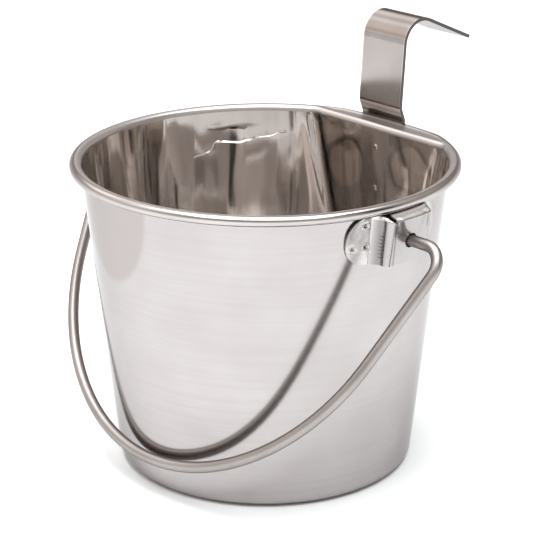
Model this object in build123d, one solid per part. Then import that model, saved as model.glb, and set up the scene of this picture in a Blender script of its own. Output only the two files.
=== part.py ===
from build123d import *
import math
import os

# Flat-sided stainless feed pail, in millimetres.
# Origin at the centre of the flat base, +Z up. The flat side faces +Y, the ears are at +X and -X,
# and the bail hangs down in front, on the -Y side.

# Pail shell
RIM_RADIUS = 82.5
HEIGHT = 133.2
BASE_RADIUS = 63.9
BASE_CORNER = 4.2
WALL_TOP_RADIUS = 77.7
WALL_TOP_Z = 129.6
SHEET = 0.6

# Pressed flat side and the rim around it
FLAT_Y = 67.4
FLAT_EDGE_RADIUS = 6.0
RIM_BACK_Y = 79.0
RIM_BACK_RADIUS = 260.0
RIM_CORNER_RADIUS = 20.0
BEAD_RADIUS = 2.1

# Strap hook
STRAP_WIDTH = 25.0
STRAP_THICKNESS = 1.5
STRAP_OFFSET_X = -8.0
STRAP_FOOT_Z = 92.0
STRAP_LEAN = 4.2
STRAP_CREST_Z = 178.4
STRAP_TIP_Y = 121.8
ARM_SLOPE = 24.2
ARM_BEND_RADIUS = 10.7
RIM_GAP = 0.3
STRAP_STEP_BACK = 2.3
STRAP_STEP_HEIGHT = 5.8
STRAP_JOG_HEIGHT = 1.0
FORMING_RADIUS = 2.2

# Bail ears
PIVOT_Z = 117.1
EAR_SHEET = 1.0
EAR_HALF_WIDTH = 25.2
EAR_BOTTOM_Z = 108.0
EAR_TOP_Z = 128.8
HOUSING_BASE_HALF = 13.7
HOUSING_FRONT_HALF = 11.5
HOUSING_DEPTH = 8.1
HOUSING_CORNER = 3.5
EAR_HOLE = 6.2
WING_END_RADIUS = 9.5
FOLD_Z = 127.2
ROOF_SLOPE = 20.0
TONGUE_TOP_HALF = 6.6
TONGUE_END_RADIUS = 4.0
TONGUE_HEIGHT = 0.5
TONGUE_ROOT = 0.2
SLIT_Y = 8.4
SLIT_WIDTH = 0.8
SLIT_DEPTH = 6.0
SLIT_SLANT = 40.0
WELDS = [(16.9, 124.7), (21.9, 115.7), (16.0, 115.6)]
WELD_RADIUS = 1.0
WELD_DEPTH = 0.3
GROOVES = 7
GROOVE_LOW_Z = 110.6
GROOVE_PITCH = 1.7
GROOVE_RADIUS = 0.5
GROOVE_LENGTH = 3.0
GROOVE_FROM_FRONT = 3.2
GROOVE_OUTSIDE = 1.0

# Bail handle
WIRE = 4.8
BAIL_STRAIGHT_X = 93.4
BAIL_BEND_RADIUS = 8.7
BAIL_LEG_SLANT = 15.6
BAIL_LEG = 42.5
BAIL_SHOULDER_RADIUS = 97.5
BAIL_SHOULDER_TURN = 47.0
BAIL_REST_ANGLE = 34.2
BAIL_HEAD_RADIUS = 4.2
BAIL_HEAD_THICKNESS = 1.8
BAIL_HEAD_X = 81.0

# Shapes that only cut others reach this far past what they cut
MARGIN = 10.0
BLOCK = 300.0

WALL_SLOPE = (WALL_TOP_RADIUS - BASE_RADIUS) / (WALL_TOP_Z - BASE_CORNER)


def wall_radius(z):
    """Outer radius of the conical wall at height z."""
    return BASE_RADIUS + WALL_SLOPE * (z - BASE_CORNER)


def tub(inset):
    """Solid tub shape, inset from the outside: rounded bottom corner, flat side with soft edges."""
    corner = BASE_CORNER - inset
    radius = wall_radius(BASE_CORNER) - inset
    top_z = HEIGHT
    profile = Polyline(
        (radius - corner, inset),
        (0, inset),
        (0, top_z),
        (wall_radius(top_z) - inset, top_z),
        (radius, BASE_CORNER),
    )
    arc = ThreePointArc(
        (radius, BASE_CORNER),
        (radius - corner * (1 - math.sqrt(0.5)), BASE_CORNER - corner * math.sqrt(0.5)),
        (radius - corner, inset),
    )
    face = Plane.XZ * make_face(profile + arc)
    solid = revolve(face, Axis.Z)
    solid -= Pos(0, FLAT_Y - inset + BLOCK / 2, HEIGHT / 2) * Box(BLOCK, BLOCK, BLOCK)
    flat_face = solid.faces().sort_by(Axis.Y)[-1]
    return fillet(flat_face.edges().filter_by(GeomType.LINE, reverse=True), FLAT_EDGE_RADIUS - inset)


def rim_arcs():
    """The rim's outer outline as tangent arcs, anticlockwise: centre, radius, start angle, turn."""
    back_centre = RIM_BACK_Y - RIM_BACK_RADIUS
    to_corner = RIM_RADIUS - RIM_CORNER_RADIUS
    to_corner_back = RIM_BACK_RADIUS - RIM_CORNER_RADIUS
    corner_y = (to_corner**2 - to_corner_back**2 + back_centre**2) / (2 * back_centre)
    corner_x = math.sqrt(to_corner**2 - corner_y**2)
    front_angle = math.degrees(math.atan2(corner_y, corner_x))
    back_angle = math.degrees(math.atan2(corner_y - back_centre, corner_x))
    turn = back_angle - front_angle
    return [
        ((0, 0), RIM_RADIUS, 180 - front_angle, 180 + 2 * front_angle),
        ((corner_x, corner_y), RIM_CORNER_RADIUS, front_angle, turn),
        ((0, back_centre), RIM_BACK_RADIUS, back_angle, 180 - 2 * back_angle),
        ((-corner_x, corner_y), RIM_CORNER_RADIUS, 180 - back_angle, turn),
    ]


def curl_section():
    """Section of the sheet's edge curled outward and under, with X out from the bead's centre."""
    curl = []
    for radius in (BEAD_RADIUS, BEAD_RADIUS - SHEET):
        curl.append([
            (radius * math.cos(math.radians(a)), radius * math.sin(math.radians(a)))
            for a in (90, -35, -160)
        ])
    outline = [
        ThreePointArc(*curl[0]),
        Line(curl[0][2], curl[1][2]),
        ThreePointArc(*reversed(curl[1])),
        Line(curl[1][0], curl[0][0]),
    ]
    return make_face(Curve() + outline)


def rolled_bead():
    """The rim's bead: the curl turned about the centre of each arc of the rim."""
    section = curl_section()
    bead = []
    for (x, y), radius, start, turn in rim_arcs():
        ring = revolve(Plane.XZ * Pos(radius - BEAD_RADIUS, 0) * section, Axis.Z, turn)
        bead.append(Pos(x, y, HEIGHT - BEAD_RADIUS) * Rot(0, 0, start) * ring)
    return bead[0].fuse(*bead[1:])


def rim_flange():
    """Flat disc inside the bead, one sheet thick, level with the bead's top."""
    edges = [
        CenterArc(centre, radius - BEAD_RADIUS, start, turn).edge()
        for centre, radius, start, turn in rim_arcs()
    ]
    return Pos(0, 0, HEIGHT - SHEET) * extrude(Face(Wire(edges)), SHEET)


def pail_shell():
    """Drawn tub with a flange that widens over the flat side and ends in the rolled bead."""
    inner_tub = tub(SHEET)
    return (tub(0) + rim_flange() + rolled_bead()) - inner_tub


def hook_strap():
    """Flat strap: foot on the flat side, out and round the bead, up, then over and down outwards."""
    half = STRAP_THICKNESS / 2
    foot_y = FLAT_Y + half
    rim_y = RIM_BACK_Y + RIM_GAP + half
    upright_y = rim_y - STRAP_STEP_BACK
    under_rim_z = HEIGHT - 2 * BEAD_RADIUS - RIM_GAP - half
    upright_z = HEIGHT + STRAP_STEP_HEIGHT
    lean = math.radians(STRAP_LEAN)
    slope = math.radians(ARM_SLOPE)
    # The upright and the arm meet in a sharp corner that the bend rounds down to the crest height.
    bend_start_z = STRAP_CREST_Z - half - ARM_BEND_RADIUS * (1 - math.sin(lean))
    turn = math.pi / 2 + slope - lean
    corner_z = bend_start_z + ARM_BEND_RADIUS * math.tan(turn / 2) * math.cos(lean)
    corner_y = upright_y + (corner_z - upright_z) * math.tan(lean)
    tip_z = corner_z - (STRAP_TIP_Y - corner_y) * math.tan(slope)
    points = [
        (foot_y, STRAP_FOOT_Z),
        (foot_y, under_rim_z - STRAP_JOG_HEIGHT),
        (rim_y, under_rim_z),
        (rim_y, HEIGHT),
        (upright_y, upright_z),
        (corner_y, corner_z),
        (STRAP_TIP_Y, tip_z),
    ]
    radii = [FORMING_RADIUS, FORMING_RADIUS, FORMING_RADIUS, 2 * FORMING_RADIUS, ARM_BEND_RADIUS]
    path = Plane.YZ.offset(STRAP_OFFSET_X) * FilletPolyline(*points, radius=radii)
    section = Plane(path @ 0, x_dir=(1, 0, 0), z_dir=(0, 0, 1))
    return sweep(section * Rectangle(STRAP_WIDTH, STRAP_THICKNESS), path=path)


def wall_cone(offset):
    """Solid inside the conical wall's outer surface moved out by offset, past the ear at both ends."""
    low = EAR_BOTTOM_Z - MARGIN
    high = EAR_TOP_Z + MARGIN
    cone = Cone(wall_radius(low) + offset, wall_radius(high) + offset, high - low)
    return Pos(0, 0, (low + high) / 2) * cone


def ear_plane():
    """Plane on the wall at the ear's foot: X outward from the wall, Z up along its slope."""
    lean = math.degrees(math.atan(WALL_SLOPE))
    return Plane(
        origin=(wall_radius(EAR_BOTTOM_Z), 0, EAR_BOTTOM_Z),
        x_dir=Vector(1, 0, 0).rotate(Axis.Y, lean),
        z_dir=Vector(0, 0, 1).rotate(Axis.Y, lean),
    )


def housing_solid(inset):
    """The ear's raised housing as a solid: open below, with a roof that slopes up under the rim."""
    front = HOUSING_DEPTH - inset
    base_half = HOUSING_BASE_HALF - inset
    front_half = HOUSING_FRONT_HALF - inset
    outline = Polyline(
        (-2 * MARGIN, -base_half),
        (0, -base_half),
        (front, -front_half),
        (front, front_half),
        (0, base_half),
        (-2 * MARGIN, base_half),
        close=True,
    )
    face = make_face(outline)
    front_corners = face.vertices().sort_by(Axis.X)[-2:]
    face = fillet(front_corners, HOUSING_CORNER - inset)
    solid = ear_plane().offset(-MARGIN) * extrude(face, EAR_TOP_Z - EAR_BOTTOM_Z + 2 * MARGIN)
    fold = Pos(wall_radius(FOLD_Z) + HOUSING_DEPTH, 0, FOLD_Z - inset) * Rot(0, ROOF_SLOPE, 0)
    solid -= fold * Pos(0, 0, BLOCK / 2) * Box(BLOCK, BLOCK, BLOCK)
    solid -= Pos(RIM_RADIUS, 0, EAR_TOP_Z - inset + BLOCK / 2) * Box(BLOCK, BLOCK, BLOCK)
    return solid


def wing_plate():
    """The ear's two round-ended wings, one sheet thick, lying on the wall."""
    middle = (EAR_BOTTOM_Z + EAR_TOP_Z) / 2
    height = EAR_TOP_Z - EAR_BOTTOM_Z
    outline = Pos(wall_radius(middle), 0, middle) * Box(3 * MARGIN, 2 * EAR_HALF_WIDTH, height)
    outline = fillet(outline.edges().filter_by(Axis.X), WING_END_RADIUS)
    return (wall_cone(EAR_SHEET) & outline) - wall_cone(0)


def hood_tongue():
    """Raised panel on the housing's front that narrows from the fold down to the bail hole."""
    hole_height = PIVOT_Z - EAR_BOTTOM_Z
    top_height = FOLD_Z - EAR_BOTTOM_Z - EAR_SHEET
    panel = Polygon(
        (-TONGUE_TOP_HALF, top_height),
        (-TONGUE_END_RADIUS, hole_height),
        (TONGUE_END_RADIUS, hole_height),
        (TONGUE_TOP_HALF, top_height),
        align=None,
    )
    panel += Pos(0, hole_height) * Circle(TONGUE_END_RADIUS)
    foot = ear_plane()
    front = Plane(origin=foot.origin, x_dir=foot.y_dir, z_dir=foot.x_dir)
    return front.offset(HOUSING_DEPTH - TONGUE_ROOT) * extrude(panel, TONGUE_HEIGHT + TONGUE_ROOT)


def ear_marks():
    """Solids that mark the sheet: weld dimples, forming grooves and the slits beside the tongue."""
    marks = []
    for side in (1, -1):
        for y, z in WELDS:
            surface = math.sqrt((wall_radius(z) + EAR_SHEET) ** 2 - y**2)
            centre = surface + WELD_RADIUS - WELD_DEPTH
            marks.append(Pos(centre, side * y, z) * Sphere(WELD_RADIUS))
        for step in range(GROOVES):
            z = GROOVE_LOW_Z + step * GROOVE_PITCH
            x = wall_radius(z) + HOUSING_DEPTH - GROOVE_FROM_FRONT
            groove = Pos(x, side * (HOUSING_FRONT_HALF + GROOVE_OUTSIDE), z) * Rot(0, 90, 0)
            marks.append(groove * Cylinder(GROOVE_RADIUS, GROOVE_LENGTH))
        slit = Pos(wall_radius(FOLD_Z) + HOUSING_DEPTH, side * SLIT_Y, FOLD_Z)
        slit *= Rot(-side * SLIT_SLANT, 0, 0)
        marks.append(slit * Box(SLIT_DEPTH, SLIT_WIDTH, SLIT_DEPTH))
    return marks


def bail_ear():
    """Stamped ear on the +X side: wings on the wall and a raised housing with the bail hole."""
    below = Pos(RIM_RADIUS, 0, EAR_BOTTOM_Z - BLOCK / 2) * Box(BLOCK, BLOCK, BLOCK)
    ear = wing_plate() + (housing_solid(0) - wall_cone(0) - below)
    ear -= housing_solid(EAR_SHEET)
    ear += hood_tongue()
    hole = Pos(wall_radius(PIVOT_Z) + HOUSING_DEPTH, 0, PIVOT_Z) * Rot(0, 90, 0)
    ear -= hole * Cylinder(EAR_HOLE / 2, MARGIN)
    for mark in ear_marks():
        ear -= mark
    return ear


def bail_centre_line():
    """Centre line of the wire in its own plane: X across the pail, Y down the hanging bail."""
    straight = Line((BAIL_HEAD_X, 0), (BAIL_STRAIGHT_X, 0))
    bend = JernArc(straight @ 1, straight % 1, BAIL_BEND_RADIUS, 90 + BAIL_LEG_SLANT)
    leg = Line(bend @ 1, bend @ 1 + bend % 1 * BAIL_LEG)
    shoulder = JernArc(leg @ 1, leg % 1, BAIL_SHOULDER_RADIUS, BAIL_SHOULDER_TURN)
    side = straight + bend + leg + shoulder
    # The bottom arc carries on from one shoulder to the other, centred below the middle of the pail.
    slant = BAIL_LEG_SLANT + BAIL_SHOULDER_TURN
    bottom_radius = (shoulder @ 1).X / math.cos(math.radians(slant))
    bottom = JernArc(shoulder @ 1, shoulder % 1, bottom_radius, 2 * (90 - slant))
    return Wire((side + bottom + mirror(side, about=Plane.YZ)).edges())


def bail_handle():
    """Bent wire with an upset head on each end, hanging forward at its rest angle."""
    angle = math.radians(BAIL_REST_ANGLE)
    swing = Plane(
        origin=(0, 0, PIVOT_Z),
        x_dir=(1, 0, 0),
        z_dir=(0, math.cos(angle), -math.sin(angle)),
    )
    end = Pos(BAIL_HEAD_X, 0, PIVOT_Z) * Rot(0, 90, 0)
    bail = sweep(end * Circle(WIRE / 2), path=swing * bail_centre_line())
    for side in (1, -1):
        head = Pos(side * BAIL_HEAD_X, 0, PIVOT_Z) * Rot(0, 90, 0)
        bail += head * Cylinder(BAIL_HEAD_RADIUS, BAIL_HEAD_THICKNESS)
    return bail


ear_right = bail_ear()
nodes = {
    "pail_shell": pail_shell(),
    "hook_strap": hook_strap(),
    "bail_ear_right": ear_right,
    "bail_ear_left": mirror(ear_right, about=Plane.YZ),
    "bail_handle": bail_handle(),
}

os.makedirs("parts", exist_ok=True)
for name, shape in nodes.items():
    export_step(shape, f"parts/{name}.step")
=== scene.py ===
"""Looks of a flat-sided stainless feed pail: sheet metal, steel finishes, studio and camera."""

import math

import bpy
import numpy as np
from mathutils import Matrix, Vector


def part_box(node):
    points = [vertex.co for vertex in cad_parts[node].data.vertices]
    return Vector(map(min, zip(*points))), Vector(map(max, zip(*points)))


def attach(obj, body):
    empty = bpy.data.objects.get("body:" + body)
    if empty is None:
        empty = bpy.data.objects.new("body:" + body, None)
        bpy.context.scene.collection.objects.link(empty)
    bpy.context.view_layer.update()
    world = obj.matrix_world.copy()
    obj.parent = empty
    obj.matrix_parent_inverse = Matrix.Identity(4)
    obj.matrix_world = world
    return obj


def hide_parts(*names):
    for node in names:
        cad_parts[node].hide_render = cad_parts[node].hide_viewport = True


MM = 0.001

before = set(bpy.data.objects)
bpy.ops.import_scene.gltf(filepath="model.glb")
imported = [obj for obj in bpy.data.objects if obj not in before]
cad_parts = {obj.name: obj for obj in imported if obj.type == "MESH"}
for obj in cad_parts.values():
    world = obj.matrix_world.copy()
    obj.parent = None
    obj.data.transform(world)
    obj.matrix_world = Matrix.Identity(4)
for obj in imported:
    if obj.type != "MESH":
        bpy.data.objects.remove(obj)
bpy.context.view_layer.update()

# The pail's driving sizes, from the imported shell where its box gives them.
shell_low, shell_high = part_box("pail_shell")
RIM_RADIUS = (shell_high.x - shell_low.x) / 2
HEIGHT = shell_high.z
RIM_BACK_Y = shell_high.y
RIM_BACK_RADIUS = 260 * MM
RIM_CORNER_RADIUS = 20 * MM
BASE_RADIUS = 63.9 * MM
BASE_CORNER = 4.2 * MM
WALL_SLOPE = 0.11
SHEET = 0.6 * MM
BEAD_RADIUS = 2.1 * MM
LIP_RADIUS = 2.1 * MM
strap_low, strap_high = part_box("hook_strap")
FLAT_Y = strap_low.y
STRAP_MIDDLE_X = (strap_low.x + strap_high.x) / 2
STRAP_HALF_WIDTH = (strap_high.x - strap_low.x) / 2
FLAT_BLEND = 1.0 * MM
FLANGE_DIP = 0.45 * MM
BASE_STEP = 0.4 * MM

# The folds beside the flat: how deep, how far apart in radians of a wave, and how far they reach.
FOLD_DEPTH = 0.42 * MM
FOLD_WAVE = 1.9 * MM
FOLD_REACH = 5.5 * MM

AROUND = 448
angles = np.linspace(0, 2 * math.pi, AROUND, endpoint=False)
spokes = np.column_stack([np.cos(angles), np.sin(angles)])


# ---------------------------------------------------------------- plan outlines


def smooth_step(low, high, x):
    """0 below low, 1 above high, and a smooth ramp between."""
    t = np.clip((x - low) / (high - low), 0, 1)
    return t * t * (3 - 2 * t)


def wall_radius(z):
    """Outer radius of the conical wall at height z."""
    return BASE_RADIUS + WALL_SLOPE * (z - BASE_CORNER)


def corner_ripple(z):
    """Upright folds that pressing the flat leaves on each side of it, deepest near the rim."""
    offset = np.zeros(AROUND)
    corner = math.asin(min(1.0, FLAT_Y / wall_radius(z)))
    for place in (corner, math.pi - corner):
        away = (angles - place) * wall_radius(z)
        offset += FOLD_DEPTH * np.cos(away / FOLD_WAVE) * np.exp(-((away / FOLD_REACH) ** 2))
    up = smooth_step(0.35 * HEIGHT, 0.85 * HEIGHT, z)
    return offset * up * smooth_step(HEIGHT, 0.95 * HEIGHT, z)


def wall_outline(z, inset):
    """Plan points of the wall at height z: a circle pressed flat at the back, with soft corners."""
    circle = wall_radius(z) - inset
    flat = (FLAT_Y - inset) / np.maximum(spokes[:, 1], 0.3)
    near = np.maximum(FLAT_BLEND - np.abs(circle - flat), 0) / FLAT_BLEND
    radius = np.minimum(circle, flat) - near**2 * FLAT_BLEND / 4 + corner_ripple(z)
    return radius[:, None] * spokes


def rim_outline(inset):
    """Plan points of the rim: a circle with a gentler arc at the back and rounded corners."""
    back_centre = RIM_BACK_Y - RIM_BACK_RADIUS
    to_corner = RIM_RADIUS - RIM_CORNER_RADIUS
    to_corner_back = RIM_BACK_RADIUS - RIM_CORNER_RADIUS
    corner_y = (to_corner**2 - to_corner_back**2 + back_centre**2) / (2 * back_centre)
    corner_x = math.sqrt(to_corner**2 - corner_y**2)
    front = math.atan2(corner_y, corner_x)
    back = math.atan2(corner_y - back_centre, corner_x)
    arcs = [
        (0, 0, RIM_RADIUS, math.pi - front, 2 * math.pi + front),
        (corner_x, corner_y, RIM_CORNER_RADIUS, front, back),
        (0, back_centre, RIM_BACK_RADIUS, back, math.pi - back),
        (-corner_x, corner_y, RIM_CORNER_RADIUS, math.pi - back, math.pi - front),
    ]
    points = []
    for x, y, radius, start, end in arcs:
        turn = np.linspace(start, end, 400)
        reach = radius - inset
        points.append(np.column_stack([x + reach * np.cos(turn), y + reach * np.sin(turn)]))
    points = np.vstack(points)
    polar = np.arctan2(points[:, 1], points[:, 0]) % (2 * math.pi)
    order = np.argsort(polar)
    distance = np.hypot(points[:, 0], points[:, 1])
    radius = np.interp(angles, polar[order], distance[order], period=2 * math.pi)
    return radius[:, None] * spokes


def outward(outline):
    """Unit normals of a closed plan outline."""
    along = np.roll(outline, -1, axis=0) - np.roll(outline, 1, axis=0)
    normal = np.column_stack([along[:, 1], -along[:, 0]])
    return normal / np.linalg.norm(normal, axis=1)[:, None]


# ---------------------------------------------------------------- the pail's sheet


def ring(outline, z):
    """A plan outline raised to height z, which is one number or one for each point."""
    return np.column_stack([outline, np.broadcast_to(z, AROUND)])


def base_rings(inset, floor):
    """The bottom from its middle to the wall: a shallow step, a flat foot and a round corner."""
    corner = BASE_CORNER - inset
    foot = BASE_RADIUS - BASE_CORNER
    step = ((0.15, 1.0), (0.4, 1.0), (0.62, 1.0), (0.8, 1.0), (0.88, 0.75), (0.91, 0.0), (1.0, 0.0))
    rings = [ring(foot * share * spokes, floor + lift * BASE_STEP) for share, lift in step]
    for turn in np.linspace(0, math.pi / 2, 9)[1:-1]:
        outline = (foot + corner * math.sin(turn)) * spokes
        rings.append(ring(outline, BASE_CORNER - corner * math.cos(turn)))
    return rings


def wall_rings(inset, count):
    """The wall from the bottom corner to the start of the lip, with closer rings near the rim."""
    share = 1 - (1 - np.linspace(0, 1, count)) ** 1.4
    heights = BASE_CORNER + share * (HEIGHT - LIP_RADIUS - BASE_CORNER)
    return [ring(wall_outline(z, inset), z) for z in heights]


def lip_rings(radius, turns):
    """One face of the lip where the wall folds outwards, at that radius from the fold's centre."""
    lip_start = HEIGHT - LIP_RADIUS
    mouth = wall_outline(lip_start, SHEET)
    normal = outward(mouth)
    centre = mouth + LIP_RADIUS * normal
    return [
        ring(centre - radius * math.cos(turn) * normal, lip_start + radius * math.sin(turn))
        for turn in turns
    ]


def flange_rings(drop):
    """The flat between the lip and the bead, dished a little where it is wide."""
    mouth = wall_outline(HEIGHT - LIP_RADIUS, SHEET)
    inner = mouth + LIP_RADIUS * outward(mouth)
    outer = rim_outline(BEAD_RADIUS)
    width = np.linalg.norm(outer - inner, axis=1)
    dip = FLANGE_DIP * smooth_step(2 * MM, 6 * MM, width)
    section = ((0.06, 0.5), (0.15, 1.0), (0.4, 1.0), (0.65, 1.0), (0.76, 1.0), (0.84, 0.4))
    return [
        ring(inner + share * (outer - inner), HEIGHT - drop - depth * dip)
        for share, depth in section
    ]


def bead_rings(radius, degrees):
    """The rolled bead's face at that radius, through the given angles of its section."""
    centre = rim_outline(BEAD_RADIUS)
    normal = outward(centre)
    middle_z = HEIGHT - BEAD_RADIUS
    return [
        ring(centre + radius * math.cos(turn) * normal, middle_z + radius * math.sin(turn))
        for turn in np.radians(degrees)
    ]


def smooth_piece(name, vertices, faces, materials):
    """A smooth-shaded mesh piece in the scene."""
    mesh = bpy.data.meshes.new(name)
    mesh.from_pydata(vertices, [], faces)
    for material in materials:
        mesh.materials.append(material)
    mesh.polygons.foreach_set("use_smooth", [True] * len(faces))
    mesh.update()
    piece = bpy.data.objects.new(name, mesh)
    bpy.context.scene.collection.objects.link(piece)
    return piece


def lofted(name, rings, first_middle, last_middle, band_materials, materials):
    """A piece skinned over rings of AROUND points, closed at both ends by a middle point."""
    vertices = np.vstack([[first_middle], *rings, [last_middle]])
    last = len(vertices) - 1
    faces = []
    slots = []
    for j in range(AROUND):
        k = (j + 1) % AROUND
        faces.append((0, 1 + k, 1 + j))
        slots.append(band_materials[0])
    for i in range(len(rings) - 1):
        for j in range(AROUND):
            k = (j + 1) % AROUND
            low, high = 1 + i * AROUND, 1 + (i + 1) * AROUND
            faces.append((low + j, low + k, high + k, high + j))
            slots.append(band_materials[i])
    top = 1 + (len(rings) - 1) * AROUND
    for j in range(AROUND):
        k = (j + 1) % AROUND
        faces.append((top + j, top + k, last))
        slots.append(band_materials[-1])
    piece = smooth_piece(name, vertices.tolist(), faces, materials)
    piece.data.polygons.foreach_set("material_index", slots)
    return piece


def pail_sheet(outside, inside, rim, flange):
    """The whole pail as one sheet: outside from the base to the bead, then back down the inside."""
    quarter = np.linspace(0, math.pi / 2, 8)
    groups = [
        (base_rings(0, 0.0), 0),
        (wall_rings(0, 44), 0),
        (lip_rings(LIP_RADIUS - SHEET, quarter[1:]), 0),
        (flange_rings(SHEET), 0),
        (bead_rings(BEAD_RADIUS - SHEET, np.linspace(90, -160, 14)), 2),
        (bead_rings(BEAD_RADIUS, np.linspace(-160, 90, 30)), 2),
        (flange_rings(0.0)[::-1], 3),
        (lip_rings(LIP_RADIUS, quarter[::-1]), 3),
        (wall_rings(SHEET, 56)[::-1][1:], 1),
        (base_rings(SHEET, SHEET)[::-1], 1),
    ]
    rings = [ring_points for group, _ in groups for ring_points in group]
    bands = [slot for group, slot in groups for _ in group]
    return lofted(
        "pail_sheet",
        rings,
        (0, 0, BASE_STEP),
        (0, 0, SHEET + BASE_STEP),
        bands,
        [outside, inside, rim, flange],
    )


# ---------------------------------------------------------------- the ears

ear_low, ear_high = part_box("bail_ear_right")
EAR_BOTTOM_Z = ear_low.z
EAR_TOP_Z = ear_high.z
EAR_HALF_WIDTH = ear_high.y
PIVOT_Z = 117.1 * MM
EAR_SHEET = 1.0 * MM
HOUSING_BASE_HALF = 13.7 * MM
HOUSING_FRONT_HALF = 11.5 * MM
HOUSING_DEPTH = 8.1 * MM
WING_END_RADIUS = 9.5 * MM
FOLD_Z = 127.2 * MM
ROOF_RUN = 2.75
EAR_HOLE_RADIUS = 3.1 * MM
TONGUE_TOP_HALF = 7.6 * MM
TONGUE_END_RADIUS = 4.0 * MM
WELDS = ((16.9 * MM, 124.7 * MM), (21.9 * MM, 115.7 * MM), (16.0 * MM, 115.6 * MM))
ROOF_BLEND = 1.6 * MM
FOOT_REACH = 1.3 * MM
CORNER_REACH = 2.4 * MM
WING_LIFT = 0.3 * MM
DIMPLE_DEPTH = 0.75 * MM
DIMPLE_REACH = 0.7 * MM
DIMPLE_RIM = 0.12 * MM
DIMPLE_RIM_AT = 1.35 * MM
DIMPLE_RIM_REACH = 0.45 * MM
DIMPLE_DARK_REACH = 0.75 * MM
SIDE_HOLLOW = 0.8 * MM
RUNG_PITCH = 1.5 * MM
RUNG_HEIGHT = 0.16 * MM
RUNGS_LOW = 109.5 * MM
RUNGS_HIGH = 122.5 * MM
TONGUE_LEAST = 0.15 * MM
TONGUE_MORE = 0.35 * MM
CREASE_Y = 8.9 * MM
CREASE_DEPTH = 0.12 * MM
NOTCH_NEAR = -8.6 * MM
NOTCH_FAR = -11.4 * MM
NOTCH_MIDDLE = 9.4 * MM
NOTCH_DEPTH = 1.1 * MM
NOTCH_SLOPE = 0.8
NOTCH_LEAST_OFF = 3.2 * MM
HOLE_SNAP = 0.17 * MM
EAR_SPLIT_DEGREES = 42
EAR_THICKNESS = 0.85 * MM


def soft_min(a, b, blend):
    """The smaller of two values, with a smooth change from one to the other."""
    near = np.maximum(blend - np.abs(a - b), 0) / blend
    return np.minimum(a, b) - near**2 * blend / 4


def legs_and_bends(corners, reaches, counts):
    """Points along straight legs joined by smooth bends, and each point's share.

    A share is the number of the point's leg, from 1, plus how far along that leg it is. It is 0 in
    a bend.
    """
    points = []
    shares = []
    start = corners[0]
    for index in range(1, len(corners)):
        corner = corners[index]
        unit = (corner - start) / np.linalg.norm(corner - start)
        end = corner - unit * reaches[index]
        along = np.linspace(0, 1, counts[2 * index - 2], endpoint=False)
        points += [start + share * (end - start) for share in along]
        shares += [index + share for share in along]
        if index == len(corners) - 1:
            break
        onward = corners[index + 1] - corner
        leave = corner + onward / np.linalg.norm(onward) * reaches[index]
        for share in np.linspace(0, 1, counts[2 * index - 1], endpoint=False):
            rest = 1 - share
            points.append(rest**2 * end + 2 * share * rest * corner + share**2 * leave)
            shares.append(0)
        start = leave
    points.append(corners[-1])
    shares.append(index + 1.0)
    return np.array(points), np.array(shares)


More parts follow.
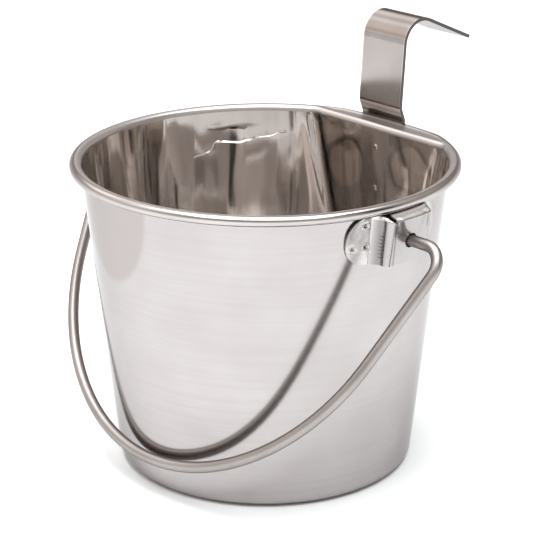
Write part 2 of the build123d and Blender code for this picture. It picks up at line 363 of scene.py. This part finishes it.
def ear_row(z):
    """Half of the ear's section at height z.

    It gives each point's distance from the middle, its height off the wall, and how much painted
    shade and weld darkening it takes.
    """
    middle = (EAR_BOTTOM_Z + EAR_TOP_Z) / 2
    beyond = max(0.0, abs(z - middle) - (middle - EAR_BOTTOM_Z - WING_END_RADIUS))
    rounding = math.sqrt(max(0.0, WING_END_RADIUS**2 - beyond**2))
    wing_end = EAR_HALF_WIDTH - WING_END_RADIUS + rounding
    front = float(soft_min(HOUSING_DEPTH, HOUSING_DEPTH - (z - FOLD_Z) * ROOF_RUN, ROOF_BLEND))
    rise = (front - EAR_SHEET) / (HOUSING_DEPTH - EAR_SHEET)
    front_half = HOUSING_BASE_HALF + rise * (HOUSING_FRONT_HALF - HOUSING_BASE_HALF)
    corners = [
        np.array([wing_end, EAR_SHEET]),
        np.array([HOUSING_BASE_HALF, EAR_SHEET]),
        np.array([front_half, front]),
        np.array([0.0, front]),
    ]
    corner_reach = min(CORNER_REACH, 0.45 * (front - EAR_SHEET))
    points, shares = legs_and_bends(corners, [0, FOOT_REACH, corner_reach, 0], [12, 8, 18, 12, 30])
    across, off = points[:, 0], points[:, 1]

    # The wing's edge stands off the wall a little, and its spot welds leave dimples.
    from_end = wing_end - across
    on_wing = (shares > 0) & (shares < 2)
    lift = smooth_step(5 * MM, 0, from_end) * smooth_step(113 * MM, 124 * MM, z)
    off = off + WING_LIFT * lift * on_wing
    for weld_y, weld_z in WELDS:
        apart = np.hypot(across - weld_y, z - weld_z)
        off = off - DIMPLE_DEPTH * np.exp(-((apart / DIMPLE_REACH) ** 2))
        off = off + DIMPLE_RIM * np.exp(-(((apart - DIMPLE_RIM_AT) / DIMPLE_RIM_REACH) ** 2))

    # The side panel is pressed hollow, with short rungs beside the front corner.
    along = np.where((shares >= 2) & (shares < 3), shares - 2, 0)
    hollow = SIDE_HOLLOW * np.sin(math.pi * along)
    in_rungs = smooth_step(RUNGS_LOW, RUNGS_LOW + RUNG_PITCH, z)
    in_rungs = in_rungs * smooth_step(RUNGS_HIGH, RUNGS_HIGH - RUNG_PITCH, z)
    rungs = RUNG_HEIGHT * math.cos(2 * math.pi * z / RUNG_PITCH) * in_rungs
    across = across - hollow + rungs * smooth_step(0.1, 0.45, along) * smooth_step(1.0, 0.9, along)

    # The tongue narrows from the fold to the bail hole and stands proud of the front.
    up = np.clip((z - PIVOT_Z) / (FOLD_Z - PIVOT_Z), 0, 1)
    half = TONGUE_END_RADIUS + up * (TONGUE_TOP_HALF - TONGUE_END_RADIUS)
    inside_tongue = half - across
    if z < PIVOT_Z:
        inside_tongue = TONGUE_END_RADIUS - np.hypot(across, z - PIVOT_Z)
    proud = (TONGUE_LEAST + TONGUE_MORE * up) * smooth_step(FOLD_Z + 1.2 * MM, FOLD_Z - 0.2 * MM, z)
    off = off + proud * smooth_step(-0.3 * MM, 2.5 * MM, inside_tongue)

    # Painted shade darkens the housing, most of all its hollow sides and the tongue's edge, and the
    # weld dimples are darkened too.
    below_fold = smooth_step(FOLD_Z + 0.4 * MM, FOLD_Z - 0.4 * MM, z)
    on_housing = smooth_step(0.98 * MM, 1.3 * MM, off) * below_fold
    on_side = smooth_step(0.9 * MM, 3.4 * MM, off) * smooth_step(7.0 * MM, 5.6 * MM, off)
    on_side = on_housing * on_side
    tongue_edge = np.exp(-(((inside_tongue - 0.4 * MM) / (0.9 * MM)) ** 2)) * up
    painted_shade_and_weld_tint = 0.36 * on_housing + 0.36 * on_side + 0.15 * tongue_edge
    for weld_y, weld_z in WELDS:
        apart = np.hypot(across - weld_y, z - weld_z)
        painted_shade_and_weld_tint = painted_shade_and_weld_tint + 0.9 * np.exp(-((apart / DIMPLE_DARK_REACH) ** 2))
    return across, off, np.clip(painted_shade_and_weld_tint, 0, 1)


def ear_sheet(name, side, material):
    """One ear as a pressed sheet: wings on the wall, a hollow-sided housing, a roof, the tongue."""
    heights = np.concatenate([
        np.arange(EAR_BOTTOM_Z, FOLD_Z - 1.2 * MM, 0.3 * MM),
        np.linspace(FOLD_Z - 1.2 * MM, EAR_TOP_Z, 24),
    ])
    rows = []
    hollow = []
    for z in heights:
        across, off, painted_shade_and_weld_tint = ear_row(z)
        y = np.concatenate([across, -across[-2::-1]])
        off = np.concatenate([off, off[-2::-1]])
        painted_shade_and_weld_tint = np.concatenate([painted_shade_and_weld_tint, painted_shade_and_weld_tint[-2::-1]])

        # A crease separates the front from its rounded corner: all the way down on one side only.
        crease = np.exp(-(((np.abs(y) - CREASE_Y) / (0.3 * MM)) ** 2)) * (off > HOUSING_DEPTH * 0.9)
        crease = crease * smooth_step(FOLD_Z, FOLD_Z - 1.5 * MM, z)
        crease = crease * np.where(y > 0, smooth_step(FOLD_Z - 7 * MM, FOLD_Z - 5 * MM, z), 1)
        off = off - CREASE_DEPTH * crease
        # The crease takes painted shade too; this list feeds the mesh's "hollow" attribute.
        hollow += np.clip(painted_shade_and_weld_tint + 0.5 * crease, 0, 1).tolist()
        apart = np.hypot(y, z - PIVOT_Z)
        at_hole = (np.abs(apart - EAR_HOLE_RADIUS) < HOLE_SNAP) & (off > HOUSING_DEPTH / 2)
        snap = np.where(at_hole, EAR_HOLE_RADIUS / np.maximum(apart, MM), 1.0)
        radius = wall_radius(z)
        curve = radius - np.sqrt(radius**2 - y**2)
        on_wall = 1 - np.clip((off - EAR_SHEET) / (HOUSING_DEPTH - EAR_SHEET), 0, 1)
        x = radius + off - curve * on_wall
        rows.append(np.column_stack([side * x, y * snap, PIVOT_Z + (z - PIVOT_Z) * snap, off]))
    count = len(rows[0])
    grid = np.vstack(rows)
    faces = []
    for i in range(len(rows) - 1):
        for j in range(count - 1):
            here = i * count + j
            corners = [here, here + count, here + count + 1, here + 1]
            _, y, z, off = grid[corners].mean(axis=0)
            in_hole = math.hypot(y, z - PIVOT_Z) < EAR_HOLE_RADIUS and off > HOUSING_DEPTH / 2
            notch_floor = FOLD_Z - NOTCH_DEPTH + NOTCH_SLOPE * abs(abs(y) - NOTCH_MIDDLE)
            in_notch = z > notch_floor and NOTCH_FAR < y < NOTCH_NEAR and off > NOTCH_LEAST_OFF
            if not in_hole and not in_notch:
                faces.append(corners if side > 0 else corners[::-1])
    piece = smooth_piece(name, grid[:, :3].tolist(), faces, [material])
    # The "hollow" attribute carries the painted shade and the weld dimples' darkening to the
    # material.
    piece.data.attributes.new("hollow", "FLOAT", "POINT").data.foreach_set("value", hollow)
    thickness = piece.modifiers.new("thickness", "SOLIDIFY")
    thickness.thickness = EAR_THICKNESS
    thickness.offset = -1
    edges = piece.modifiers.new("edges", "EDGE_SPLIT")
    edges.split_angle = math.radians(EAR_SPLIT_DEGREES)
    return piece


# ---------------------------------------------------------------- steel finishes

# Marks on the flat side, in millimetres: x and z, and a reach for the dents and the hook's welds.
HOLLOWS = ((21, 117), (-19, 111))
HOLLOW_REACH = 15.5 * MM
HOLLOW_UNEVENNESS = 9 * MM
DENTS = ((20, 117, 15), (-17, 125, 9))
HOOK_WELDS = ((0, 123, 1.6), (0, 104, 1.6))
DENT_DEPTH = 0.4 * MM

# The painted reflection on the front of the wall, a darker patch: its middle and half size, in
# turns and in height.
PATCH_TURN = 0.221
PATCH_HALF_TURN = 0.055
PATCH_Z = 130 * MM
PATCH_HALF_HEIGHT = 39 * MM


class Nodes:
    """Short ways to add and join shader nodes in one material or world."""

    def __init__(self, owner):
        owner.use_nodes = True
        self.tree = owner.node_tree
        self.tree.nodes.clear()

    def add(self, kind, **settings):
        """A new node of a kind, with its settings."""
        node = self.tree.nodes.new(kind)
        for key, value in settings.items():
            setattr(node, key, value)
        return node

    def join(self, source, target):
        """A link from an output to an input."""
        self.tree.links.new(source, target)

    def stretched_noise(self, scale, detail=3.0, roughness=0.5):
        """Noise over the object's own coordinates; scale is cycles per metre along each axis."""
        place = self.add("ShaderNodeTexCoord")
        mapping = self.add("ShaderNodeMapping")
        mapping.inputs["Scale"].default_value = scale
        noise = self.add("ShaderNodeTexNoise")
        noise.inputs["Scale"].default_value = 1.0
        noise.inputs["Detail"].default_value = detail
        noise.inputs["Roughness"].default_value = roughness
        self.join(place.outputs["Object"], mapping.inputs["Vector"])
        self.join(mapping.outputs["Vector"], noise.inputs["Vector"])
        return noise.outputs["Fac"]

    def ramp(self, value, stops):
        """A colour ramp over value: stops are (position, grey or colour)."""
        ramp = self.add("ShaderNodeValToRGB")
        elements = ramp.color_ramp.elements
        while len(elements) < len(stops):
            elements.new(0.5)
        for element, (position, colour) in zip(elements, stops):
            element.position = position
            rgb = colour if isinstance(colour, tuple) else (colour, colour, colour)
            element.color = (*rgb, 1)
        self.join(value, ramp.inputs["Fac"])
        return ramp.outputs["Color"]

    def remap(self, value, low, high, start=0.0, end=1.0):
        """Value from start..end to low..high, held at the ends."""
        node = self.add("ShaderNodeMapRange", interpolation_type="SMOOTHSTEP")
        node.inputs["From Min"].default_value = start
        node.inputs["From Max"].default_value = end
        node.inputs["To Min"].default_value = low
        node.inputs["To Max"].default_value = high
        self.join(value, node.inputs["Value"])
        return node.outputs["Result"]

    def calculate(self, operation, first, second):
        """A math node; each side is a socket or a number."""
        node = self.add("ShaderNodeMath", operation=operation)
        for index, value in enumerate((first, second)):
            if isinstance(value, (int, float)):
                node.inputs[index].default_value = value
            else:
                self.join(value, node.inputs[index])
        return node.outputs["Value"]

    def position(self, kind="Object"):
        """The shaded point's X, Y and Z, and its share of a turn about the pail's axis."""
        place = self.add("ShaderNodeTexCoord")
        parts = self.add("ShaderNodeSeparateXYZ")
        turn = self.add("ShaderNodeTexGradient", gradient_type="RADIAL")
        self.join(place.outputs[kind], parts.inputs["Vector"])
        self.join(place.outputs[kind], turn.inputs["Vector"])
        return parts.outputs["X"], parts.outputs["Y"], parts.outputs["Z"], turn.outputs["Fac"]

    def between(self, value, start, end, soft):
        """1 from start to end and 0 outside, with a change of soft on each side of both."""
        return self.calculate(
            "MULTIPLY",
            self.remap(value, 0.0, 1.0, start - soft, start + soft),
            self.remap(value, 1.0, 0.0, end - soft, end + soft),
        )

    def distance(self, place):
        """How far the shaded point is from a place."""
        here = self.add("ShaderNodeTexCoord")
        apart = self.add("ShaderNodeVectorMath", operation="DISTANCE")
        self.join(here.outputs["Object"], apart.inputs[0])
        apart.inputs[1].default_value = place
        return apart.outputs["Value"]

    def dent(self, place, reach):
        """1 at a place, fading to 0 at that distance from it."""
        return self.remap(self.distance(place), 1.0, 0.0, 0.0, reach)

    def bump(self, height, distance, under=None):
        """A bump of that height in metres, on top of another bump if one is given."""
        node = self.add("ShaderNodeBump")
        node.inputs["Distance"].default_value = distance
        self.join(height, node.inputs["Height"])
        if under is not None:
            self.join(under, node.inputs["Normal"])
        return node.outputs["Normal"]


def steel(
    name,
    dark,
    light,
    roughness,
    grain,
    grain_height,
    wave,
    wave_height,
    edge=1.0,
    extra=None,
):
    """Stainless steel: blotchy tint, roughness that follows the grain, fine grain and slow waves.

    dark and light are the blotches' tints, and roughness holds the least and the most. grain and
    wave are noise scales, each with a height. edge is the tint at grazing angles. extra adds marks
    and painted light and shade: it is called with the nodes, the tint and the slow waves, and gives
    the last two back.
    """
    material = bpy.data.materials.new(name)
    nodes = Nodes(material)
    shader = nodes.add("ShaderNodeBsdfPrincipled")
    shader.inputs["Metallic"].default_value = 1.0
    shader.inputs["Specular Tint"].default_value = (edge, edge, edge, 1)
    output = nodes.add("ShaderNodeOutputMaterial")
    nodes.join(shader.outputs["BSDF"], output.inputs["Surface"])
    blotches = nodes.stretched_noise((38, 38, 38), detail=4.0)
    tint = nodes.ramp(blotches, [(0.3, dark), (0.7, light)])
    lines = nodes.stretched_noise(grain, detail=5.0, roughness=0.65)
    nodes.join(nodes.remap(lines, *roughness), shader.inputs["Roughness"])
    waves = nodes.stretched_noise(wave, detail=1.5)
    slow = nodes.bump(waves, wave_height)
    if extra:
        tint, slow = extra(nodes, tint, slow)
    nodes.join(tint, shader.inputs["Base Color"])
    nodes.join(nodes.bump(lines, grain_height, slow), shader.inputs["Normal"])
    return material


def mixed(nodes, share, first, second, **settings):
    """Two colours mixed by share; the second is a socket or a plain colour."""
    mix = nodes.add("ShaderNodeMix", data_type="RGBA", **settings)
    nodes.join(share, mix.inputs["Factor"])
    nodes.join(first, mix.inputs["A"])
    if isinstance(second, tuple):
        mix.inputs["B"].default_value = (*second, 1)
    else:
        nodes.join(second, mix.inputs["B"])
    return mix.outputs["Result"]


def tinted(nodes, tint, colour, share):
    """A tint mixed towards a colour by share."""
    return mixed(nodes, share, tint, colour)


def wrinkle(nodes, tint, slow, level, climb, wander, start, end, half, lift, colour, share):
    """A wandering wrinkle round part of the inside.

    It runs from start to end as shares of a turn, at a mean height of level, and rises by climb for
    each whole turn. half is its half width, lift its height, and share how much of colour it takes.
    """
    _, _, height, turn = nodes.position()
    line = nodes.calculate("MULTIPLY", nodes.stretched_noise((75, 75, 110), detail=2.0), wander)
    line = nodes.calculate("ADD", line, level - wander / 2)
    rise = nodes.calculate("MULTIPLY", nodes.calculate("SUBTRACT", turn, (start + end) / 2), climb)
    line = nodes.calculate("ADD", line, rise)
    away = nodes.calculate("ABSOLUTE", nodes.calculate("SUBTRACT", height, line), 0.0)
    ridge = nodes.remap(away, 1.0, 0.0, 0.0, half)
    ridge = nodes.calculate("MULTIPLY", ridge, nodes.between(turn, start, end, 0.01))
    slow = nodes.bump(ridge, lift, slow)
    # The ridge is tinted towards colour: painted light along the wrinkle, bright or dark as colour
    # says.
    return tinted(nodes, tint, colour, nodes.calculate("MULTIPLY", ridge, share)), slow


def drawing_marks_and_painted_light(nodes, tint, slow):
    """Marks that drawing and pressing leave inside, some with painted light.

    Two wrinkles run under the rim: the lower one climbs with a painted highlight along it, the
    upper one is a painted shadow line. The flat side has two hollows, each with a painted highlight
    inside and a painted shadow round its edge, two soft dents, and the dimples of the hook's welds.
    side has two hollows with dark outlines, two soft dents, and the dimples of the hook's welds.
    """
    # The lower wrinkle: a bump with a painted highlight along it.
    tint, slow = wrinkle(
        nodes,
        tint,
        slow,
        level=117 * MM,
        climb=-115 * MM,
        wander=14 * MM,
        start=0.868,
        end=0.945,
        half=0.8 * MM,
        lift=0.2 * MM,
        colour=(0.86, 0.83, 0.80),
        share=0.35,
    )
    # The upper wrinkle: a painted shadow line with hardly any bump.
    tint, slow = wrinkle(
        nodes,
        tint,
        slow,
        level=123.5 * MM,
        climb=0.0,
        wander=6 * MM,
        start=0.893,
        end=0.93,
        half=1.3 * MM,
        lift=0.02 * MM,
        colour=(0.2, 0.18, 0.17),
        share=0.85,
    )
    patchy = nodes.remap(nodes.stretched_noise((45, 45, 45), detail=1.0), 0.1, 0.8, 0.38, 0.62)
    for x, z in HOLLOWS:
        noise = nodes.stretched_noise((60, 60, 60), detail=1.0)
        uneven = nodes.calculate("MULTIPLY", noise, HOLLOW_UNEVENNESS)
        apart = nodes.calculate("ADD", nodes.distance((x * MM, FLAT_Y, z * MM)), uneven)
        hollow_highlight = nodes.remap(apart, 1.0, 0.0, HOLLOW_REACH - 0.8 * MM, HOLLOW_REACH)
        whole = nodes.remap(apart, 1.0, 0.0, HOLLOW_REACH + 1.2 * MM, HOLLOW_REACH + 2.4 * MM)
        outline = nodes.calculate("MULTIPLY", nodes.calculate("SUBTRACT", whole, hollow_highlight), patchy)
        # Painted highlight inside each hollow, and a painted shadow round its edge.
        tint = tinted(nodes, tint, (0.97, 0.90, 0.84), nodes.calculate("MULTIPLY", hollow_highlight, 0.8))
        tint = tinted(nodes, tint, (0.36, 0.32, 0.30), nodes.calculate("MULTIPLY", outline, 0.9))
    for x, z, reach in DENTS + HOOK_WELDS:
        slow = nodes.bump(nodes.dent((x * MM, FLAT_Y, z * MM), reach * MM), DENT_DEPTH, slow)
    return tint, slow


def streaks_and_painted_reflection(nodes, tint, slow):
    """A painted reflection, a darker tongue-shaped patch high on the front of the wall, and faint
    streaks all round.
    """
    streaks = nodes.remap(nodes.stretched_noise((12, 12, 800), detail=4.0), 0.0, 0.28, 0.35, 0.75)
    tint = tinted(nodes, tint, (0.355, 0.333, 0.326), streaks)
    _, _, height, turn = nodes.position()
    apart = 0.0
    for value, middle, half in (
        (turn, PATCH_TURN, PATCH_HALF_TURN),
        (height, PATCH_Z, PATCH_HALF_HEIGHT),
    ):
        away = nodes.calculate("DIVIDE", nodes.calculate("SUBTRACT", value, middle), half)
        apart = nodes.calculate("ADD", nodes.calculate("MULTIPLY", away, away), apart)
    # Painted reflection: the wall is darkened inside the patch.
    reflection_patch = nodes.remap(apart, 1.0, 0.0, 0.85, 1.05)
    return tinted(nodes, tint, (0.335, 0.30, 0.292), nodes.calculate("MULTIPLY", reflection_patch, 0.8)), slow


def cut_edges(nodes, tint, slow):
    """The strap's sheared edges are dark, with a painted highlight line along each corner."""
    x, _, _, _ = nodes.position()
    from_middle = nodes.calculate("ABSOLUTE", nodes.calculate("SUBTRACT", x, STRAP_MIDDLE_X), 0.0)
    edge = STRAP_HALF_WIDTH
    edge_highlight = nodes.remap(from_middle, 0.0, 1.0, edge - 0.6 * MM, edge - 0.3 * MM)
    sheared = nodes.remap(from_middle, 0.0, 1.0, edge - 0.25 * MM, edge - 0.1 * MM)
    # Painted highlight: a bright line just inside each edge.
    tint = tinted(nodes, tint, (0.62, 0.60, 0.585), edge_highlight)
    return tinted(nodes, tint, (0.085, 0.075, 0.072), sheared), slow


def ear_painted_light_and_shade(nodes, tint, slow):
    """A painted highlight on the ear's roof, and painted shade in its hollows, crease and tongue
    edge from its mesh, with darker weld dimples.
    """
    hollow = nodes.add("ShaderNodeAttribute", attribute_name="hollow")
    # Painted shade, and the weld dimples' darkening, from the mesh's attribute.
    tint = tinted(nodes, tint, (0.10, 0.092, 0.09), hollow.outputs["Fac"])
    _, y, z, _ = nodes.position()
    from_middle = nodes.calculate("ABSOLUTE", y, 0.0)
    # Painted highlight: the roof is lightened where it would mirror the dark bead above.
    roof_highlight = nodes.calculate(
        "MULTIPLY",
        nodes.remap(z, 0.0, 1.0, FOLD_Z, FOLD_Z + 0.5 * MM),
        nodes.remap(from_middle, 1.0, 0.0, HOUSING_FRONT_HALF - 1.5 * MM, HOUSING_FRONT_HALF),
    )
    return tinted(nodes, tint, (0.93, 0.90, 0.885), roof_highlight), slow


def finishes():
    """The steel finishes by name."""
    return {
        "outside": steel(
            "satin_outside",
            dark=(0.395, 0.370, 0.363),
            light=(0.435, 0.410, 0.404),
            roughness=(0.1, 0.2),
            grain=(14, 14, 2600),
            grain_height=0.0025 * MM,
            wave=(9, 9, 5),
            wave_height=0.10 * MM,
            edge=0.7,
            extra=streaks_and_painted_reflection,
        ),
        "inside": steel(
            "polished_inside",
            dark=(0.72, 0.70, 0.685),
            light=(0.80, 0.785, 0.775),
            roughness=(0.03, 0.08),
            grain=(20, 20, 1800),
            grain_height=0.001 * MM,
            wave=(38, 38, 11),
            wave_height=1.0 * MM,
            extra=drawing_marks_and_painted_light,
        ),
        "flange": steel(
            "brushed_flange",
            dark=(0.46, 0.43, 0.42),
            light=(0.54, 0.51, 0.50),
            roughness=(0.3, 0.42),
            grain=(900, 900, 900),
            grain_height=0.004 * MM,
            wave=(40, 40, 40),
            wave_height=0.02 * MM,
            edge=0.6,
        ),
        "rim": steel(
            "polished_rim",
            dark=(0.41, 0.385, 0.375),
            light=(0.48, 0.455, 0.445),
            roughness=(0.14, 0.22),
            grain=(60, 60, 2200),
            grain_height=0.002 * MM,
            wave=(40, 40, 40),
            wave_height=0.02 * MM,
            edge=0.6,
        ),
        "strap": steel(
            "brushed_strap",
            dark=(0.33, 0.30, 0.285),
            light=(0.40, 0.367, 0.35),
            roughness=(0.09, 0.17),
            grain=(2400, 60, 60),
            grain_height=0.004 * MM,
            wave=(30, 30, 30),
            wave_height=0.03 * MM,
            edge=0.35,
            extra=cut_edges,
        ),
        "ear": steel(
            "pressed_ear",
            dark=(0.50, 0.48, 0.47),
            light=(0.60, 0.58, 0.57),
            roughness=(0.18, 0.32),
            grain=(300, 300, 1500),
            grain_height=0.002 * MM,
            wave=(60, 60, 60),
            wave_height=0.04 * MM,
            edge=0.6,
            extra=ear_painted_light_and_shade,
        ),
        "wire": steel(
            "drawn_wire",
            dark=(0.285, 0.262, 0.253),
            light=(0.36, 0.335, 0.325),
            roughness=(0.32, 0.44),
            grain=(900, 900, 900),
            grain_height=0.003 * MM,
            wave=(60, 60, 60),
            wave_height=0.02 * MM,
            edge=0.4,
        ),
    }


def dress(node, material):
    """Gives a carried-over CAD node its finish in every slot."""
    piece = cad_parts[node]
    if not piece.data.materials:
        piece.data.materials.append(material)
    for index in range(len(piece.data.materials)):
        piece.data.materials[index] = material


# ---------------------------------------------------------------- studio

# The camera: angles in degrees, the lens in millimetres, and lengths in rim radii.
CAMERA_AZIMUTH = 47.0
CAMERA_ELEVATION = 20.2
CAMERA_DISTANCE = 10.85
AIM_ASIDE = 0.006
AIM_HEIGHT = 1.0086
FOCAL_LENGTH = 140.83


def plain_floor():
    """A wide white table top."""
    bpy.ops.mesh.primitive_plane_add(size=8)
    floor = bpy.context.object
    floor.name = "table_top"
    material = bpy.data.materials.new("white_table")
    nodes = Nodes(material)
    shader = nodes.add("ShaderNodeBsdfPrincipled")
    shader.inputs["Roughness"].default_value = 0.7
    shader.inputs["Specular IOR Level"].default_value = 0.2
    output = nodes.add("ShaderNodeOutputMaterial")
    nodes.join(shader.outputs["BSDF"], output.inputs["Surface"])
    cloud = nodes.stretched_noise((3, 3, 3), detail=2.0)
    white = nodes.ramp(cloud, [(0.3, (0.84, 0.87, 0.885)), (0.7, (0.86, 0.885, 0.90))])
    nodes.join(white, shader.inputs["Base Color"])
    floor.data.materials.append(material)


def studio_world():
    """Soft surroundings: bright low down, dim above, with lighter and darker panels around."""
    world = bpy.data.worlds.new("studio")
    bpy.context.scene.world = world
    nodes = Nodes(world)
    _, _, up, around = nodes.position("Generated")
    heights = [
        (0.0, (1.15, 1.15, 1.15)),
        (0.15, (1.0, 0.97, 0.95)),
        (0.26, (0.52, 0.45, 0.41)),
        (0.36, (0.50, 0.435, 0.395)),
        (0.45, (0.68, 0.61, 0.57)),
        (0.66, (0.75, 0.70, 0.67)),
        (0.85, (1.4, 1.4, 1.4)),
    ]
    panels = [
        (0.0, 1.4),
        (0.13, 2.2),
        (0.22, 1.3),
        (0.27, 1.0),
        (0.33, 0.95),
        (0.38, 0.85),
        (0.40, 1.05),
        (0.54, 1.1),
        (0.56, 0.12),
        (0.60, 0.12),
        (0.62, 0.9),
        (0.84, 0.85),
        (0.92, 1.1),
    ]
    light = mixed(
        nodes,
        nodes.remap(up, 0.0, 1.0, 0.14, 0.24),
        nodes.ramp(up, heights),
        nodes.ramp(around, panels),
        blend_type="MULTIPLY",
    )

    # One soft box to the left of the pail lights the bend of the hook.
    soft_box = nodes.ramp(around, [(0.02, 1), (0.06, 0), (0.86, 0), (0.9, 1)])
    soft_box = nodes.calculate("MULTIPLY", soft_box, nodes.between(up, 0.46, 0.70, 0.05))
    light = mixed(nodes, soft_box, light, (1.35, 1.3, 1.28), blend_type="ADD")

    # One dark card, high to the right of the pail, shades the front of the rim.
    card = nodes.ramp(around, [(0.50, 0), (0.53, 1), (0.62, 1), (0.66, 0)])
    card = nodes.calculate("MULTIPLY", card, nodes.between(up, 0.58, 0.80, 0.04))
    light = mixed(nodes, card, light, (0.2, 0.18, 0.17))

    # Rays from the camera see plain white behind the pail instead.
    surroundings = nodes.add("ShaderNodeBackground")
    nodes.join(light, surroundings.inputs["Color"])
    backdrop = nodes.add("ShaderNodeBackground")
    backdrop.inputs["Color"].default_value = (1, 1, 1, 1)
    rays = nodes.add("ShaderNodeLightPath")
    choose = nodes.add("ShaderNodeMixShader")
    nodes.join(rays.outputs["Is Camera Ray"], choose.inputs["Fac"])
    nodes.join(surroundings.outputs["Background"], choose.inputs[1])
    nodes.join(backdrop.outputs["Background"], choose.inputs[2])
    output = nodes.add("ShaderNodeOutputWorld")
    nodes.join(choose.outputs["Shader"], output.inputs["Surface"])


def area_light(name, place, aim, size, power):
    """A soft rectangular light at place, facing aim."""
    light = bpy.data.lights.new(name, "AREA")
    light.shape = "RECTANGLE"
    light.size, light.size_y = size
    light.energy = power
    lamp = bpy.data.objects.new(name, light)
    lamp.location = place
    lamp.rotation_euler = (Vector(aim) - Vector(place)).to_track_quat("-Z", "Y").to_euler()
    bpy.context.scene.collection.objects.link(lamp)


def studio():
    """Floor, surroundings and soft lights."""
    plain_floor()
    studio_world()
    area_light("overhead", (0.15, -0.16, 1.7), (0, 0, 0), (1.8, 1.8), 44)


def camera():
    """A long lens beside the pail's right ear, looking down at it a little."""
    azimuth, elevation = math.radians(CAMERA_AZIMUTH), math.radians(CAMERA_ELEVATION)
    aside = AIM_ASIDE * RIM_RADIUS
    target = Vector((aside * math.cos(azimuth), aside * math.sin(azimuth), AIM_HEIGHT * RIM_RADIUS))
    level = math.cos(elevation)
    back = Vector((math.sin(azimuth) * level, -math.cos(azimuth) * level, math.sin(elevation)))
    lens = bpy.data.cameras.new("camera")
    lens.sensor_width = 36
    lens.lens = FOCAL_LENGTH
    lens.clip_start = 0.01
    view = bpy.data.objects.new("camera", lens)
    view.location = target + CAMERA_DISTANCE * RIM_RADIUS * back
    view.rotation_euler = back.to_track_quat("Z", "Y").to_euler()
    bpy.context.scene.collection.objects.link(view)
    bpy.context.scene.camera = view


# ---------------------------------------------------------------- the scene

steels = finishes()
pail = pail_sheet(steels["outside"], steels["inside"], steels["rim"], steels["flange"])
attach(pail, "pail")
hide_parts("pail_shell")
dress("hook_strap", steels["strap"])
for name, node, side in (
    ("ear_right_sheet", "bail_ear_right", 1),
    ("ear_left_sheet", "bail_ear_left", -1),
):
    ear = ear_sheet(name, side, steels["ear"])
    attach(ear, "pail")
    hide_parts(node)
dress("bail_handle", steels["wire"])
studio()
camera()
bpy.context.scene.view_settings.view_transform = "Standard"
bpy.context.scene.cycles.glossy_bounces = 12
